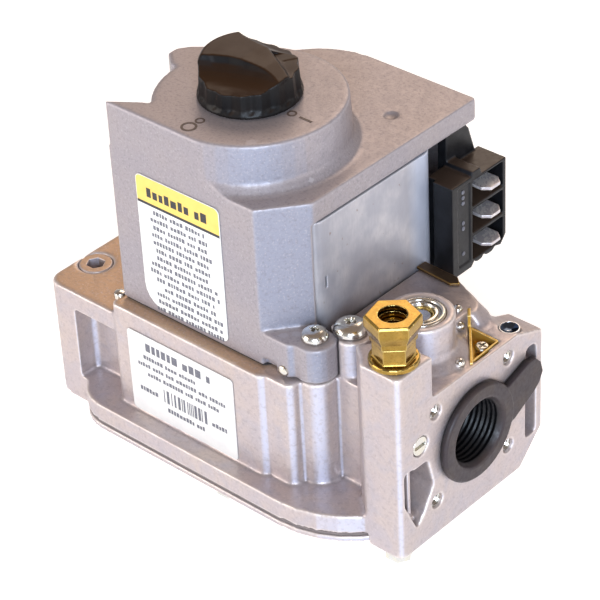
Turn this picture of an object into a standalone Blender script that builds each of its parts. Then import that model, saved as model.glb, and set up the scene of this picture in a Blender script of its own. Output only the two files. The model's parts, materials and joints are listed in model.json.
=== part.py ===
"""Gas control valve: cast body on a clamped cover, painted housing with two coils, knob and terminals.

The origin is the middle of the bottom cover's underside. +X points to the outlet, -Y to the label face
and +Z up. Dimensions are in millimetres, turned to metres where vertices are made.
"""

import math

import bmesh
import bpy
import numpy as np

MM = 0.001
UPRIGHT = (0.0, 0.0, 0.0)
ALONG_X = (math.pi / 2, 0.0, math.pi / 2)
FACING_FRONT = (math.pi / 2, 0.0, 0.0)
GAP = 0.15
SHARP_EDGE = math.radians(35)

# Body casting
FLANGE_X = (-46.6, 51.5)
FLANGE_Y = (-38.6, 38.6)
FLANGE_OUTLET_R = 27.5
FLANGE_INLET_R = 11.6
COVER_Z = (0.0, 1.4)
DIAPHRAGM_Z = (1.6, 2.3)
FLANGE_Z = (2.5, 7.5)
BODY_TOP = 36.7
PORT_Y = -3.7
PORT_Z = 22.3
OUTLET_FACE = 55.0
OUTLET_BORE_R = 9.2
OUTLET_BORE_END = 21.0
OUTLET_TOP = 40.0
OUTLET_Y = (-17.9, 22.4)
INLET_FACE = -56.3
INLET_BORE_R = 8.6
INLET_BORE_END = -20.0
INLET_TOP = 33.3
INLET_Y = (-33.0, 25.6)
TAPPED_R = 1.9
TAPPED_DEPTH = 10.0
TAPPED_Y = (-16.85, 9.45)
TAPPED_Z = (9.4, 35.2)
PILLAR_X = (43.2, 55.0)
PILLAR_Y = (-30.0, -17.9)
PILLAR_TOP = 51.3
TOWER = (41.7, -6.0)
TOWER_BORE_R = 6.1
TOWER_BORE_END = 36.4
POCKET_LOW = 35.9
POCKET = ((43.6, 8.8), (53.3, 8.4), (53.8, -2.9))
ADJUSTER = (50.3, 5.6)
FOOT_SCREW = (25.3, -23.9)
BODY_SCREW = (30.0, -16.8)
BODY_SCREW_SEAT = 46.6
SCREW_HOLE_R = 1.9
SCREW_SHANK_R = 1.55

# Main valve, on a vertical axis through the origin
PAN_R = 28.0
PAN_TOP = 10.0
STEM_R = 1.5
STEM_BORE_R = 1.8
LOWER_CAVITY_R = 8.0
LOWER_CAVITY_Z = (12.5, 20.0)
SEAT_R = 7.0
UPPER_CAVITY_R = 10.5
UPPER_CAVITY_Z = (21.2, 29.6)
PASSAGE_R = 3.9

# Pilot valves, knob and coils
COILS = ((10.2, -8.6), (10.2, 12.0))
CHAMBER_R = 6.0
CHAMBER_LOW = 31.5
KNOB_AXIS = (-6.5, -7.5)
ROTOR_R = 6.0
ROTOR_CHAMBER_R = 6.6
KNOB_SHAFT_R = 3.0
KNOB_BASE = 92.2
KNOB_SKIRT_R = 12.3
KNOB_FLUTES = 16
FRONT_SCOOP = (2.5, -9.8, 12.4)
FRONT_SCOOP_RADII = (13.5, 8.3, 7.0)
FRONT_SCOOP_TURN = math.radians(12)
REAR_SCOOP = (-1.0, 12.5, 13.4)
REAR_SCOOP_RADII = (19.0, 8.5, 7.0)
REAR_SCOOP_TURN = math.radians(-3)
STEP_FLOOR = ((4.6, 6.2), (11.2, 1.5), (22.0, 9.0), (13.0, 20.0))
STEP_TOP = ((3.6, 4.9), (9.6, 0.6), (22.0, 9.0), (13.0, 20.0))
STEP_LOW = 6.9

# Housing
HOUSING_X = (-31.7, 22.7)
HOUSING_Y = (-30.0, 38.5)
HOUSING_LOW = 37.2
LID_TOP = 79.7
LID_LOW = 74.0
DRUM_TOP = 91.7
DRUM_R = 22.8
HOUSING_WALL = 2.2
HOUSING_REAR_R = 22.0
FOOT_TOP = 46.5

# Solenoid frame and terminals
FRAME_X = (21.0, 22.2)
FRAME_Y = (-19.4, 23.0)
FRAME_Z = (38.2, 73.2)
FRAME_BEND_R = 3.2
FRAME_LEG = 12.0
BLOCK_FACE = 28.4
BLOCK_Y = (22.0, 42.4)
BLOCK_TOP = 63.7
CELL_Y = (29.6, 41.2)
CELL_Z = ((40.8, 47.4), (48.4, 55.0), (56.0, 63.0))
BLADE_Z = (44.2, 52.1, 60.0)
BLADE_TIP = 30.9
BLADE_WIDTH = 6.35
BLADE_THICK = 0.8

# Brass outlet fitting
FITTING = (49.3, -24.2)
FITTING_BORE_R = 2.0
NUT_HEX_R = 6.6
HEX_TURN = math.radians(42)

# Dust plug in the outlet port
PLUG_X = (55.3, 57.2)

FINISHES = {
    "cast": ((0.63, 0.59, 0.58), 0.42, 1.0),
    "paint": ((0.36, 0.36, 0.39), 0.5, 0.0),
    "steel": ((0.62, 0.62, 0.63), 0.32, 1.0),
    "zinc": ((0.78, 0.78, 0.76), 0.22, 1.0),
    "brass": ((0.84, 0.57, 0.2), 0.22, 1.0),
    "knob": ((0.025, 0.02, 0.018), 0.3, 0.0),
    "moulding": ((0.03, 0.027, 0.026), 0.45, 0.0),
    "vinyl": ((0.07, 0.06, 0.058), 0.6, 0.0),
    "rubber": ((0.02, 0.02, 0.02), 0.75, 0.0),
    "copper": ((0.72, 0.34, 0.2), 0.35, 1.0),
    "label": ((0.82, 0.82, 0.8), 0.45, 0.0),
}


def clear_scene():
    for old in list(bpy.data.objects):
        bpy.data.objects.remove(old, do_unlink=True)


def finish(obj, look):
    colour, roughness, metallic = FINISHES[look]
    made = bpy.data.materials.new(obj.name)
    made.use_nodes = True
    shader = made.node_tree.nodes["Principled BSDF"]
    shader.inputs["Base Color"].default_value = (*colour, 1.0)
    shader.inputs["Roughness"].default_value = roughness
    shader.inputs["Metallic"].default_value = metallic
    obj.data.materials.clear()
    obj.data.materials.append(made)
    obj.data.shade_smooth()
    obj.data.set_sharp_from_angle(angle=SHARP_EDGE)
    return obj


def placed(name, mesh, at=(0.0, 0.0, 0.0), turn=UPRIGHT):
    obj = bpy.data.objects.new(name, mesh)
    obj.location = [value * MM for value in at]
    obj.rotation_euler = turn
    bpy.context.scene.collection.objects.link(obj)
    return obj


def from_faces(name, points, faces, at=(0.0, 0.0, 0.0), turn=UPRIGHT):
    """An object made of the points, in millimetres, and faces that close on themselves."""
    shape = bmesh.new()
    verts = [shape.verts.new([float(value) * MM for value in point]) for point in points]
    for face in faces:
        shape.faces.new([verts[index] for index in face])
    bmesh.ops.recalc_face_normals(shape, faces=shape.faces)
    mesh = bpy.data.meshes.new(name)
    shape.to_mesh(mesh)
    shape.free()
    return placed(name, mesh, at, turn)


def skin(rows, closed):
    """Faces between rows of equally many points, and a cap on each end unless the rows close."""
    count = len(rows[0])
    faces = []
    for low in range(len(rows) - (0 if closed else 1)):
        high = (low + 1) % len(rows)
        for i in range(count):
            j = (i + 1) % count
            faces.append((low * count + i, low * count + j, high * count + j, high * count + i))
    if not closed:
        faces.append(tuple(range(count))[::-1])
        faces.append(tuple(range((len(rows) - 1) * count, len(rows) * count)))
    return faces


def lofted(name, rows, at=(0.0, 0.0, 0.0), turn=UPRIGHT, closed=False):
    points = [point for row in rows for point in row]
    return from_faces(name, points, skin(rows, closed), at, turn)


def prism(name, outline, low, high, at=(0.0, 0.0, 0.0), turn=UPRIGHT):
    rows = [[(x, y, level) for x, y in outline] for level in (low, high)]
    return lofted(name, rows, at, turn)


def ring_of(radius, level, sides, centre=(0.0, 0.0), start=0.0):
    angles = np.arange(sides) * 2 * math.pi / sides + start
    return [(centre[0] + radius * math.cos(a), centre[1] + radius * math.sin(a), level) for a in angles]


def turned(name, profile, at=(0.0, 0.0, 0.0), turn=UPRIGHT, sides=24, closed=False, start=0.0):
    """A body of revolution about the object's own Z, from (radius, height) pairs."""
    rows = [ring_of(radius, level, sides, start=start) for radius, level in profile]
    return lofted(name, rows, at, turn, closed)


def rod(name, centre, radius, low, high, sides=24, turn=UPRIGHT):
    """A cylinder whose outline lies at centre in the plane across its axis."""
    outline = [point[:2] for point in ring_of(radius, 0.0, sides, centre)]
    return prism(name, outline, low, high, turn=turn)


def rounded(corners, steps=5):
    """An outline from (x, y, corner radius), each corner replaced by an arc."""
    outline = []
    count = len(corners)
    for i, (x, y, radius) in enumerate(corners):
        corner = np.array((x, y))
        if radius <= 0:
            outline.append((x, y))
            continue
        before = np.array(corners[i - 1][:2]) - corner
        after = np.array(corners[(i + 1) % count][:2]) - corner
        before = before / np.linalg.norm(before)
        after = after / np.linalg.norm(after)
        half = math.acos(float(np.clip(before @ after, -1, 1))) / 2
        middle = (before + after) / np.linalg.norm(before + after)
        centre = corner + middle * radius / math.sin(half)
        start = corner + before * radius / math.tan(half) - centre
        end = corner + after * radius / math.tan(half) - centre
        first = math.atan2(start[1], start[0])
        sweep = (math.atan2(end[1], end[0]) - first + math.pi) % (2 * math.pi) - math.pi
        for step in range(steps + 1):
            angle = first + sweep * step / steps
            outline.append((centre[0] + radius * math.cos(angle), centre[1] + radius * math.sin(angle)))
    return outline


def box_outline(x, y, radii=(0.0, 0.0, 0.0, 0.0), steps=5):
    """A rectangle, with corner radii from the low corner anticlockwise."""
    corners = ((x[0], y[0]), (x[1], y[0]), (x[1], y[1]), (x[0], y[1]))
    return rounded([(*corner, radius) for corner, radius in zip(corners, radii)], steps)


def box(name, x, y, z):
    return prism(name, box_outline(x, y), z[0], z[1])


def shaped(obj, operation, tools):
    for tool in tools:
        step = obj.modifiers.new(tool.name, "BOOLEAN")
        step.operation = operation
        step.solver = "EXACT"
        step.object = tool
        tool.hide_render = True
        tool.display_type = "WIRE"
    return obj


def settled(obj):
    """Keeps the result of the Booleans as the object's mesh and removes the shapes they used."""
    bpy.context.view_layer.update()
    graph = bpy.context.evaluated_depsgraph_get()
    mesh = bpy.data.meshes.new_from_object(obj.evaluated_get(graph))
    tools = [step.object for step in obj.modifiers]
    obj.modifiers.clear()
    obj.data = mesh
    for tool in tools:
        bpy.data.objects.remove(tool, do_unlink=True)
    return obj


def coil_spring(name, radius, wire, low, high, turns, at):
    """A helix of round wire about the object's own Z."""
    per_turn = 10
    around = 5
    steps = turns * per_turn
    rows = []
    for step in range(steps + 1):
        angle = 2 * math.pi * step / per_turn
        level = low + wire + (high - low - 2 * wire) * step / steps
        row = []
        for side in range(around):
            tilt = 2 * math.pi * side / around
            out = radius + wire * math.cos(tilt)
            row.append((out * math.cos(angle), out * math.sin(angle), level + wire * math.sin(tilt)))
        rows.append(row)
    return finish(lofted(name, rows, at), "zinc")


def flange_outline(inset):
    x = (FLANGE_X[0] + inset, FLANGE_X[1] - inset)
    y = (FLANGE_Y[0] + inset, FLANGE_Y[1] - inset)
    small = FLANGE_INLET_R - inset
    large = FLANGE_OUTLET_R - inset
    return box_outline(x, y, (small, large, large, small), steps=8)


COVER_SCREWS = (
    (4.5, -34.2),
    (-38.0, -28.5),
    (-38.0, 28.5),
    (4.5, 34.2),
    (40.0, 22.0),
    (37.0, -26.0),
)


def shelf():
    """The raised deck beside the housing, its rear corner sloping down to the outlet boss."""
    rows = []
    for level, corner_x, corner_y in ((30.0, 2.8, 1.2), (40.2, 2.8, 1.2), (43.0, 0.0, 0.0)):
        plan = rounded(
            (
                (22.9, -14.5, 0),
                (35.0, -14.5, 3),
                (42.0, -13.0, 0),
                (49.0, -7.0, 3),
                (43.2, 4.5, 0),
                (43.0, 9.3, 0),
                (45.2 + corner_x, 9.3, 1.5),
                (42.6 + corner_x, 14.2 + corner_y, 3),
                (32.5, 18.6 + corner_y, 4),
                (22.9, 18.6 + corner_y, 0),
            )
        )
        rows.append([(x, y, level) for x, y in plan])
    return lofted("shelf", rows)


def body_blocks():
    """The solids that make up the casting, added to its flange."""
    outlet_profile = (
        (OUTLET_Y[0] - 0.5, 0.0),
        (14.0, 0.0),
        (OUTLET_Y[1], 8.0),
        (OUTLET_Y[1], 36.4),
        (13.0, OUTLET_TOP),
        (OUTLET_Y[0] - 0.5, OUTLET_TOP),
    )
    web = ((38.6, -25.0), (45.0, -30.0), (45.0, -18.5), (42.0, -20.2))
    tower_profile = ((10.9, 38.0), (10.9, 40.6), (9.4, 41.6), (8.5, 42.0), (8.1, 43.2), (8.1, PILLAR_TOP))
    return [
        box("core", (-33.2, 42.5), (-22.0, 19.0), (3.0, BODY_TOP)),
        prism(
            "label_pad",
            box_outline((-32.7, 16.6), (-33.6, -19.0), (1.5, 2.0, 0, 0)),
            3.0,
            BODY_TOP,
        ),
        prism(
            "rear_pad",
            box_outline((-31.5, 12.0), (8.0, 38.2), (0, 0, 2.0, 21.8)),
            3.0,
            BODY_TOP,
        ),
        prism("front_column", box_outline((15.0, 24.5), (-32.3, -19.0), (0, 2.5, 0, 0)), 3.0, BODY_TOP),
        rod("foot_column", FOOT_SCREW, 4.9, 3.0, BODY_TOP),
        rod("screw_column", BODY_SCREW, 5.2, 3.0, BODY_SCREW_SEAT),
        prism("pillar", box_outline(PILLAR_X, PILLAR_Y, (1.5, 1.5, 0, 0)), 0.0, PILLAR_TOP),
        prism("web", web, 3.0, PILLAR_TOP),
        prism("outlet_block", outlet_profile, 36.0, OUTLET_FACE, turn=ALONG_X),
        shelf(),
        turned("tower", tower_profile, (*TOWER, 0)),
        prism(
            "inlet_block",
            box_outline((INLET_FACE, -31.0), INLET_Y, (4.0, 0, 0, 4.0)),
            0.0,
            INLET_TOP,
        ),
    ]


def body_recesses():
    """The outside hollows and screw holes cut from the casting."""
    front_recess = box_outline((-47.0, -32.9), (-36.0, -27.0), (0, 0, 2.0, 2.0))
    left_pocket = (
        (-28.2, 24.0),
        (-22.9, 23.1),
        (-20.1, 23.0),
        (-18.1, 15.1),
        (-21.9, 8.6),
        (-24.1, 6.1),
        (-28.4, 14.9),
    )
    right_pocket = box_outline((16.0, 19.9), (7.5, 33.6), (1, 1, 1, 1))
    cuts = [
        prism("cover_seat", flange_outline(-0.4), -5.0, FLANGE_Z[0]),
        prism("front_recess", front_recess, FLANGE_Z[1], 28.0),
        prism("foot_clearance", housing_foot_outline(-0.35), BODY_TOP, 60.0),
        box("outlet_corner", (36.0, 44.7), (17.0, 30.0), (FLANGE_Z[1], 45.0)),
        prism("left_pocket", left_pocket, 47.0, 60.0, turn=ALONG_X),
        prism("right_pocket", right_pocket, 48.5, 60.0, turn=ALONG_X),
        prism("guard_pocket", POCKET, POCKET_LOW, 50.0),
        turned("adjuster_hole", ((1.3, 30.5), (1.3, 37.0)), (*ADJUSTER, 0), sides=12),
        turned("outlet_tap", ((2.6, 34.0), (2.6, 45.0)), (51.4, 14.4, 0), sides=16),
        turned("inlet_tap", ((4.4, 25.3), (4.4, 40.0)), (-51.6, -20.4, 0)),
        rod("side_passage", (-22.4, 28.8), 2.6, 46.0, 60.0, 16, ALONG_X),
        turned("fitting_hole", ((2.6, 27.5), (2.6, 60.0)), (*FITTING, 0), sides=16),
        turned("tower_bore", ((TOWER_BORE_R, TOWER_BORE_END), (TOWER_BORE_R, 60.0)), (*TOWER, 0)),
        turned("foot_screw_hole", ((SCREW_HOLE_R, 24.0), (SCREW_HOLE_R, 60.0)), (*FOOT_SCREW, 0), sides=12),
        turned("body_screw_hole", ((SCREW_HOLE_R, 30.0), (SCREW_HOLE_R, 60.0)), (*BODY_SCREW, 0), sides=12),
        turned("corner_hole", ((SCREW_HOLE_R, -5.0), (SCREW_HOLE_R, 7.0)), (51.2, -26.6, 0), sides=12),
    ]
    for index, spot in enumerate(COVER_SCREWS):
        cuts.append(
            turned(f"cover_hole_{index}", ((SCREW_HOLE_R, -5.0), (SCREW_HOLE_R, 7.0)), (*spot, 0), sides=12)
        )
    for row, across in enumerate(TAPPED_Y):
        for column, up in enumerate(TAPPED_Z):
            low = OUTLET_FACE - TAPPED_DEPTH
            cuts.append(rod(f"tapped_{row}_{column}", (across, up), TAPPED_R, low, 60.0, 12, ALONG_X))
    return cuts


def body_passages():
    """The bores, cavities and passages the gas runs through."""
    port = (PORT_Y, PORT_Z)
    cuts = [
        rod("outlet_bore", port, OUTLET_BORE_R, OUTLET_BORE_END, 60.0, 32, ALONG_X),
        rod("inlet_bore", port, INLET_BORE_R, -60.0, INLET_BORE_END, 32, ALONG_X),
        rod("inlet_passage", (-1.5, 25.4), PASSAGE_R, INLET_BORE_END - 2, -5.0, 16, ALONG_X),
        rod("outlet_passage", (-1.5, 16.6), PASSAGE_R, 4.0, OUTLET_BORE_END + 2, 16, ALONG_X),
        turned(
            "main_cavities",
            (
                (PAN_R, -5.0),
                (PAN_R, 4.0),
                (PAN_R - 3.0, PAN_TOP),
                (STEM_BORE_R, PAN_TOP),
                (STEM_BORE_R, LOWER_CAVITY_Z[0]),
                (LOWER_CAVITY_R, LOWER_CAVITY_Z[0]),
                (LOWER_CAVITY_R, LOWER_CAVITY_Z[1] - 1.5),
                (SEAT_R, LOWER_CAVITY_Z[1] - 1.5),
                (SEAT_R, UPPER_CAVITY_Z[0]),
                (UPPER_CAVITY_R, UPPER_CAVITY_Z[0]),
                (UPPER_CAVITY_R, UPPER_CAVITY_Z[1]),
            ),
            sides=32,
        ),
        turned("rotor_chamber", ((ROTOR_CHAMBER_R, CHAMBER_LOW), (ROTOR_CHAMBER_R, 60.0)), (*KNOB_AXIS, 0)),
    ]
    for index, spot in enumerate(COILS):
        cuts.append(turned(f"chamber_{index}", ((CHAMBER_R, CHAMBER_LOW), (CHAMBER_R, 42.0)), (*spot, 0)))
    return cuts


def valve_body():
    body = prism("valve_body", flange_outline(0.0), FLANGE_Z[0], FLANGE_Z[1])
    shaped(body, "UNION", body_blocks())
    shaped(body, "DIFFERENCE", body_recesses())
    shaped(body, "DIFFERENCE", body_passages())
    settled(body)
    shaped(body, "UNION", [box("pocket_rib", (47.0, 52.5), (-24.6, -23.4), (5.5, 24.2))])
    return finish(settled(body), "cast")


def bottom_cover():
    cover = prism("bottom_cover", flange_outline(0.1), *COVER_Z)
    holes = [
        turned(f"hole_{index}", ((SCREW_HOLE_R, -1.0), (SCREW_HOLE_R, 4.0)), (*spot, 0), sides=12)
        for index, spot in enumerate(COVER_SCREWS)
    ]
    return finish(settled(shaped(cover, "DIFFERENCE", holes)), "cast")


def main_diaphragm():
    sheet = prism("main_diaphragm", flange_outline(0.5), *DIAPHRAGM_Z)
    holes = [
        turned(f"hole_{index}", ((SCREW_HOLE_R, -1.0), (SCREW_HOLE_R, 4.0)), (*spot, 0), sides=12)
        for index, spot in enumerate(COVER_SCREWS)
    ]
    return finish(settled(shaped(sheet, "DIFFERENCE", holes)), "rubber")


def hex_screw_mesh():
    """A hexagon screw on its own Z, head below its origin and shank above."""
    screw = turned("hex_screw", ((3.1, -2.5), (3.4, -2.2), (3.4, -0.12)), sides=6)
    shank = turned("shank", ((SCREW_SHANK_R, -1.5), (SCREW_SHANK_R, 5.8), (1.1, 6.4)), sides=12)
    mesh = settled(shaped(screw, "UNION", [shank])).data
    bpy.data.objects.remove(screw, do_unlink=True)
    return mesh


def cover_screws():
    mesh = hex_screw_mesh()
    for index, spot in enumerate(COVER_SCREWS):
        finish(placed(f"cover_screw_{index + 1}", mesh, (*spot, 0)), "zinc")
    finish(placed("corner_plug_screw", mesh.copy(), (51.2, -26.6, 0)), "zinc")


def cross(spot, arm, half, z):
    """Cutters for a cross recess, given half a slot's length and half its width."""
    return [
        box("slot_x", (spot[0] - arm, spot[0] + arm), (spot[1] - half, spot[1] + half), z),
        box("slot_y", (spot[0] - half, spot[0] + half), (spot[1] - arm, spot[1] + arm), z),
    ]


def dome_screw(name, spot, seat, head_r, head_high, end):
    """A round-headed screw with a cross recess, standing on its seat."""
    base = seat + GAP
    profile = (
        (SCREW_SHANK_R, end),
        (SCREW_SHANK_R, base),
        (head_r, base),
        (head_r, base + 0.35 * head_high),
        (0.86 * head_r, base + 0.7 * head_high),
        (0.5 * head_r, base + head_high),
    )
    screw = turned(name, profile, (*spot, 0), sides=20)
    top = base + head_high
    arm = 0.42 * head_r
    half = 0.13 * head_r
    recess = cross(spot, arm, half, (top - 1.0, top + 1.0))
    return finish(settled(shaped(screw, "DIFFERENCE", recess)), "zinc")


def housing_outline(inset):
    """The housing's plan, each side moved in by the inset."""
    x = (HOUSING_X[0] + inset, HOUSING_X[1] - inset)
    y = (HOUSING_Y[0] + inset, HOUSING_Y[1] - inset)
    return rounded(
        (
            (x[0], y[0], 0.6),
            (14.0 - 0.4 * inset, y[0], 0),
            (x[1], -19.5 + 0.4 * inset, 0),
            (x[1], y[1], 1.0),
            (x[0], y[1], HOUSING_REAR_R - inset),
        ),
        steps=7,
    )


def housing_foot_outline(inset):
    """The plan of the foot that fills the front corner round the housing screw."""
    radius = 5.2 - inset
    arc = []
    for step in range(9):
        angle = math.radians(-110 + 150 * step / 8)
        arc.append((FOOT_SCREW[0] + radius * math.cos(angle), FOOT_SCREW[1] + radius * math.sin(angle)))
    return [(8.0, HOUSING_Y[0] + inset), (22.0, HOUSING_Y[0] + inset), *arc, (21.0, -16.5), (8.0, -16.5)]


def top_housing():
    housing = prism("top_housing", housing_outline(0.0), HOUSING_LOW, LID_TOP)
    front_horn = ((HOUSING_X[0], HOUSING_Y[0]), (-6.5, HOUSING_Y[0]), (-6.5, -20.0), (-24.0, -24.7))
    rear_horn = ((-31.0, -8.5), (-35.3, -5.0), (-35.3, -2.0), (-33.5, 0.5), (-19.0, 11.9), (-18.0, -8.5))
    rib = ((-31.0, -8.5), (-35.3, -5.0), (-35.3, -2.0), (-33.5, 0.5), (-31.0, 2.5))
    drum_profile = ((DRUM_R + 3.0, 78.0), (DRUM_R + 2.2, 79.9), (DRUM_R + 0.5, 82.0), (DRUM_R, DRUM_TOP))
    shaped(
        housing,
        "UNION",
        [
            turned("drum", ((18.0, 74.5), *drum_profile), (*KNOB_AXIS, 0), sides=48),
            prism("front_horn", front_horn, LID_LOW, DRUM_TOP),
            prism("rear_horn", rear_horn, LID_LOW, DRUM_TOP),
            prism("rib", rib, HOUSING_LOW, LID_LOW + 1.0),
            prism("foot", housing_foot_outline(0.0), HOUSING_LOW, FOOT_TOP),
        ],
    )
    wall = HOUSING_WALL
    drum_room = ((DRUM_R - wall, LID_TOP - wall - 3.0), (DRUM_R - wall, DRUM_TOP - wall))
    shaped(
        housing,
        "DIFFERENCE",
        [
            prism("room", housing_outline(wall), HOUSING_LOW - 5.0, LID_TOP - wall),
            turned("drum_room", drum_room, (*KNOB_AXIS, 0), sides=40),
            box("outside_front", (-60.0, 60.0), (-50.0, HOUSING_Y[0]), (LID_LOW, 100.0)),
            box("frame_window", (17.0, 30.0), (-19.55, 24.0), (HOUSING_LOW + 0.6, LID_LOW)),
            box("block_window", (17.0, 30.0), (23.1, 45.0), (30.0, LID_LOW)),
            turned("shaft_hole", ((3.6, 80.0), (3.6, 99.0)), (*KNOB_AXIS, 0), sides=20),
        ],
    )
    settled(housing)
    front = HOUSING_Y[0] + 1.0
    corner = ((8.0, front), (22.0, front), (26.0, -22.0), (20.5, -19.8), (8.0, -27.0))
    shaped(housing, "UNION", [prism("foot_fill", corner, HOUSING_LOW, FOOT_TOP - 0.5)])
    hole = ((SCREW_HOLE_R, 30.0), (SCREW_HOLE_R, 60.0))
    shaped(housing, "DIFFERENCE", [turned("screw_hole", hole, (*FOOT_SCREW, 0), sides=12)])
    return finish(settled(housing), "paint")


def housing_gasket():
    gasket = prism("housing_gasket", housing_outline(0.5), 36.82, 37.08)
    inner = prism("inner", housing_outline(HOUSING_WALL + 0.8), 30.0, 40.0)
    gap = box("gap", (18.0, 30.0), (-19.0, 45.0), (30.0, 40.0))
    return finish(settled(shaped(gasket, "DIFFERENCE", [inner, gap])), "rubber")


def solenoid_frame():
    """Folded sheet: a plate facing the outlet side with a leg bent back along each edge."""
    x = (FRAME_X[0] - FRAME_LEG, FRAME_X[1])
    t = FRAME_X[1] - FRAME_X[0]
    outer = rounded(
        (
            (x[0], FRAME_Y[0], 0),
            (x[1], FRAME_Y[0], FRAME_BEND_R),
            (x[1], FRAME_Y[1], FRAME_BEND_R),
            (x[0], FRAME_Y[1], 0),
            (x[0], FRAME_Y[1] - t, 0),
            (x[1] - t, FRAME_Y[1] - t, FRAME_BEND_R - t),
            (x[1] - t, FRAME_Y[0] + t, FRAME_BEND_R - t),
            (x[0], FRAME_Y[0] + t, 0),
        )
    )
    return finish(prism("solenoid_frame", outer, *FRAME_Z), "steel")


def coil(index, spot):
    """One pilot solenoid, from the seat in the body up to the fixed core."""
    number = index + 1
    at = (*spot, 0)
    flange_r = 8.8
    barrel_r = 5.9
    bobbin = [(5.2, 41.0), (flange_r, 41.0), (flange_r, 42.2), (barrel_r, 42.2)]
    bobbin += [(barrel_r, 68.8), (flange_r, 68.8), (flange_r, 70.0), (5.2, 70.0)]
    finish(turned(f"coil_bobbin_{number}", bobbin, at, closed=True), "vinyl")
    winding = ((6.05, 42.4), (8.5, 42.4), (8.5, 68.6), (6.05, 68.6))
    finish(turned(f"coil_winding_{number}", winding, at, closed=True), "copper")
    tube = (
        (4.55, 36.9),
        (7.6, 36.9),
        (7.6, 38.4),
        (5.0, 38.4),
        (5.0, 71.6),
        (1.0, 71.6),
        (1.0, 70.9),
        (4.55, 70.9),
    )
    finish(turned(f"guide_tube_{number}", tube, at, closed=True), "steel")
    core = ((4.2, 60.5), (4.35, 61.0), (4.35, 70.6))
    finish(turned(f"fixed_core_{number}", core, at, sides=20), "steel")
    plunger = ((3.2, 35.4), (3.2, 36.6), (4.2, 36.9), (4.2, 55.0))
    finish(turned(f"plunger_{number}", plunger, at, sides=20), "steel")
    disc = ((3.3, 33.5), (3.3, 35.25))
    finish(turned(f"plunger_disc_{number}", disc, at, sides=20), "rubber")
    seat = ((1.3, 31.65), (3.8, 31.65), (3.8, 32.4), (2.6, 32.6), (2.3, 33.35), (1.3, 33.35))
    finish(turned(f"pilot_seat_{number}", seat, at, sides=20, closed=True), "brass")
    coil_spring(f"plunger_spring_{number}", 3.0, 0.35, 55.15, 60.35, 3, at)


def knob_shape():
    """The knob before its scoops are cut: a fluted skirt under a plain upper wall."""
    sides = 64
    rows = []
    for level, radius, depth in (
        (0.0, KNOB_SKIRT_R, 0.0),
        (0.6, KNOB_SKIRT_R, 0.0),
        (1.8, KNOB_SKIRT_R - 0.3, 0.65),
        (6.6, KNOB_SKIRT_R - 0.6, 0.65),
        (8.6, KNOB_SKIRT_R - 0.8, 0.0),
        (9.7, KNOB_SKIRT_R - 1.2, 0.0),
        (10.6, KNOB_SKIRT_R - 2.1, 0.0),
    ):
        row = []
        for side in range(sides):
            angle = 2 * math.pi * side / sides
            out = radius - depth * (0.5 + 0.5 * math.cos(KNOB_FLUTES * angle))
            row.append((out * math.cos(angle), out * math.sin(angle), level))
        rows.append(row)
    return lofted("knob", rows, (*KNOB_AXIS, KNOB_BASE))


def scoop(name, centre, radii, turn):
    """An ellipsoid that hollows one side of the knob, its centre given from the knob's base."""
    rings = 11
    rows = []
    for ring in range(rings):
        tilt = math.radians(-84 + 168 * ring / (rings - 1))
        row = []
        for step in range(20):
            angle = 2 * math.pi * step / 20
            along = radii[0] * math.cos(tilt) * math.cos(angle)
            across = radii[1] * math.cos(tilt) * math.sin(angle)
            x = centre[0] + along * math.cos(turn) - across * math.sin(turn)
            y = centre[1] + along * math.sin(turn) + across * math.cos(turn)
            row.append((x, y, centre[2] + radii[2] * math.sin(tilt)))
        rows.append(row)
    return lofted(name, rows, (*KNOB_AXIS, KNOB_BASE))


def knob():
    """Finger scoops and a rear step leave a tapered grip, wide at the tail and narrow at the pointer."""
    shape = knob_shape()
    x, y = KNOB_AXIS
    step = []
    for outline, up in ((STEP_FLOOR, STEP_LOW), (STEP_TOP, 10.4), (STEP_TOP, 20.0)):
        step.append([(x + along, y + across, KNOB_BASE + up) for along, across in outline])
    slope = []
    for across in (-16.0, 16.0):
        profile = ((-14.0, 10.4), (0.0, 10.0), (6.0, 9.0), (14.0, 6.8), (14.0, 20.0), (-14.0, 20.0))
        slope.append([(x + along, y + across, KNOB_BASE + up) for along, up in profile])
    socket = ((KNOB_SHAFT_R + 0.2, KNOB_BASE - 2.0), (KNOB_SHAFT_R + 0.2, KNOB_BASE + 6.5))
    cuts = [
        scoop("front_scoop", FRONT_SCOOP, FRONT_SCOOP_RADII, FRONT_SCOOP_TURN),
        scoop("rear_scoop", REAR_SCOOP, REAR_SCOOP_RADII, REAR_SCOOP_TURN),
        lofted("rear_step", step),
        lofted("top_slope", slope),
        turned("underside", ((10.6, KNOB_BASE - 1.0), (10.6, KNOB_BASE + 1.8)), (x, y, 0)),
        turned("socket", socket, (x, y, 0), sides=20),
    ]
    return finish(settled(shaped(shape, "DIFFERENCE", cuts)), "knob")


def shutoff_parts():
    """The shaft, rotor and bush that the knob turns in."""
    at = (*KNOB_AXIS, 0)
    shaft = ((KNOB_SHAFT_R, 34.6), (KNOB_SHAFT_R, KNOB_BASE + 5.9), (KNOB_SHAFT_R - 0.4, KNOB_BASE + 6.3))
    finish(turned("knob_shaft", shaft, at, sides=20), "steel")
    rotor = turned("shutoff_rotor", ((ROTOR_R, 31.7), (ROTOR_R, 34.4)), at)
    port = turned("port", ((1.4, 30.0), (1.4, 36.0)), (KNOB_AXIS[0], KNOB_AXIS[1] - 3.6, 0), sides=12)
    finish(settled(shaped(rotor, "DIFFERENCE", [port])), "brass")
    bush = ((3.06, 36.85), (8.4, 36.85), (8.4, 38.6), (5.0, 38.9), (5.0, 44.0), (3.06, 44.0))
    finish(turned("shaft_bush", bush, at, sides=20, closed=True), "brass")


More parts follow.
